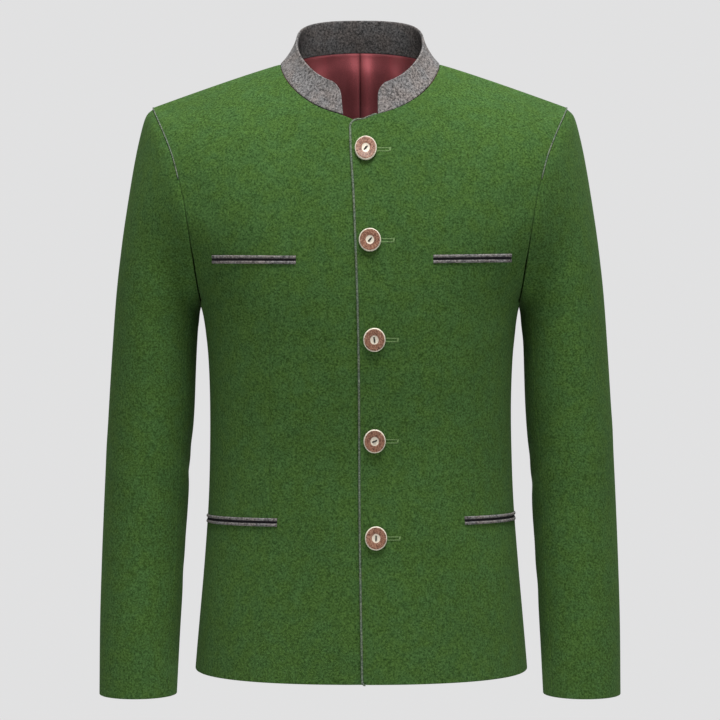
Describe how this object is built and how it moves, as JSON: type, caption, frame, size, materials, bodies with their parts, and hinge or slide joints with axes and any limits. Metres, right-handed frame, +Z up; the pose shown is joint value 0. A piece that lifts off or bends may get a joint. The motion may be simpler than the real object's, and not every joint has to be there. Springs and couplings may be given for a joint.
{
  "type": "trachten coat",
  "caption": "Hip-length loden jacket with a stand collar, a buttoned front, set-in sleeves and lipped pockets, filled out as if worn and open at neck, hem and cuffs.",
  "frame": {"origin": "middle of the line between the neck ends of the two shoulder seams, where the wearer holds the jacket up", "axes": "+Z up along the body, front faces -Y, +X towards the wearer's left"},
  "size_m": [0.5844, 0.2578, 0.7653],
  "materials": {
    "loden": "matte fulled wool with fine heathered flecks",
    "collar_felt": "matte melange wool felt",
    "felt_piping": "narrow melange felt piping",
    "satin_lining": "smooth satin with a soft sheen",
    "horn": "polished staghorn, pale middle and mottled brown ring",
    "thread": "twisted sewing thread"
  },
  "bodies": {
    "root": {"front_left": "loden", "front_right": "loden", "back_left": "loden", "back_right": "loden", "top_sleeve_left": "loden", "top_sleeve_right": "loden", "under_sleeve_left": "loden", "under_sleeve_right": "loden", "lining_left": "satin_lining", "lining_right": "satin_lining", "arm_piping_left": "felt_piping", "arm_piping_right": "felt_piping", "edge_piping": "felt_piping", "collar": "collar_felt", "chest_pocket_right_upper_lip": "collar_felt", "chest_pocket_right_lower_lip": "collar_felt", "chest_pocket_left_upper_lip": "collar_felt", "chest_pocket_left_lower_lip": "collar_felt", "lower_pocket_right_upper_lip": "collar_felt", "lower_pocket_right_lower_lip": "collar_felt", "lower_pocket_left_upper_lip": "collar_felt", "lower_pocket_left_lower_lip": "collar_felt", "button_1": "horn", "button_2": "horn", "button_3": "horn", "button_4": "horn", "button_5": "horn"}
  },
  "joints": []
}
